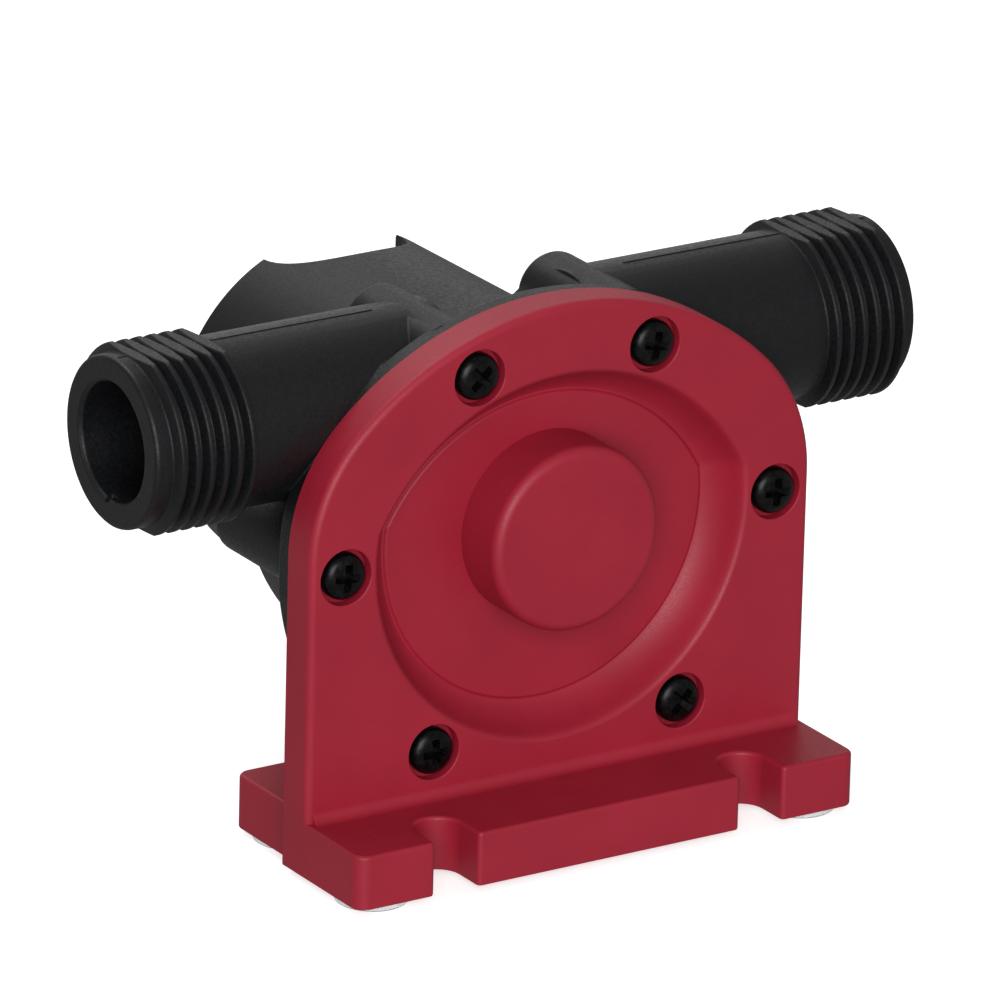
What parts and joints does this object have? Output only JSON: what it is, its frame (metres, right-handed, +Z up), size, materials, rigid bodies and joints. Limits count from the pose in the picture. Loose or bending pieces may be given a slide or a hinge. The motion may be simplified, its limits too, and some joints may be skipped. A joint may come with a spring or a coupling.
{
  "type": "drill powered pump",
  "caption": "Self-priming flexible-impeller pump driven by a drill: red cover with slotted base, black housing with two threaded hose ports and a bell round the shaft.",
  "frame": {"origin": "under the middle of the part's outline, on the surface that the foot pads stand on", "axes": "+Z up, the red cover faces -Y, the shaft points to +Y, the hose ports lie along X"},
  "size_m": [0.1234, 0.0838, 0.0774],
  "materials": {
    "red_plastic": "satin, fine texture",
    "black_plastic": "fine texture",
    "rubber": "matt",
    "bush_bronze": "turned",
    "hub_brass": "turned",
    "washer_plastic": "plain",
    "steel": "ground",
    "black_screw": "black zinc",
    "clear_pad": "translucent"
  },
  "bodies": {
    "pump": {"front_cover": "red_plastic", "pump_housing": "black_plastic", "cover_gasket": "rubber", "front_bush": "bush_bronze", "rear_bush": "bush_bronze", "thrust_washer_front": "washer_plastic", "thrust_washer_rear": "washer_plastic", "seal_case": "steel", "seal_lip": "rubber", "seal_spring": "steel", "seal_retainer": "black_plastic", "cover_screws": "black_screw", "foot_pad_front_left": "clear_pad", "foot_pad_front_right": "clear_pad", "foot_pad_rear_left": "clear_pad", "foot_pad_rear_right": "clear_pad"},
    "rotor": {"drive_shaft": "steel", "impeller": "rubber", "impeller_hub": "hub_brass", "drive_pin": "steel", "front_circlip": "steel", "rear_circlip": "steel"}
  },
  "joints": [
    {"name": "shaft_spin", "type": "hinge", "parent": "pump", "child": "rotor", "pos_m": [0, 0, 0.0443], "axis": [0, 1, 0], "continuous": true, "deforming": ["impeller"]}
  ]
}
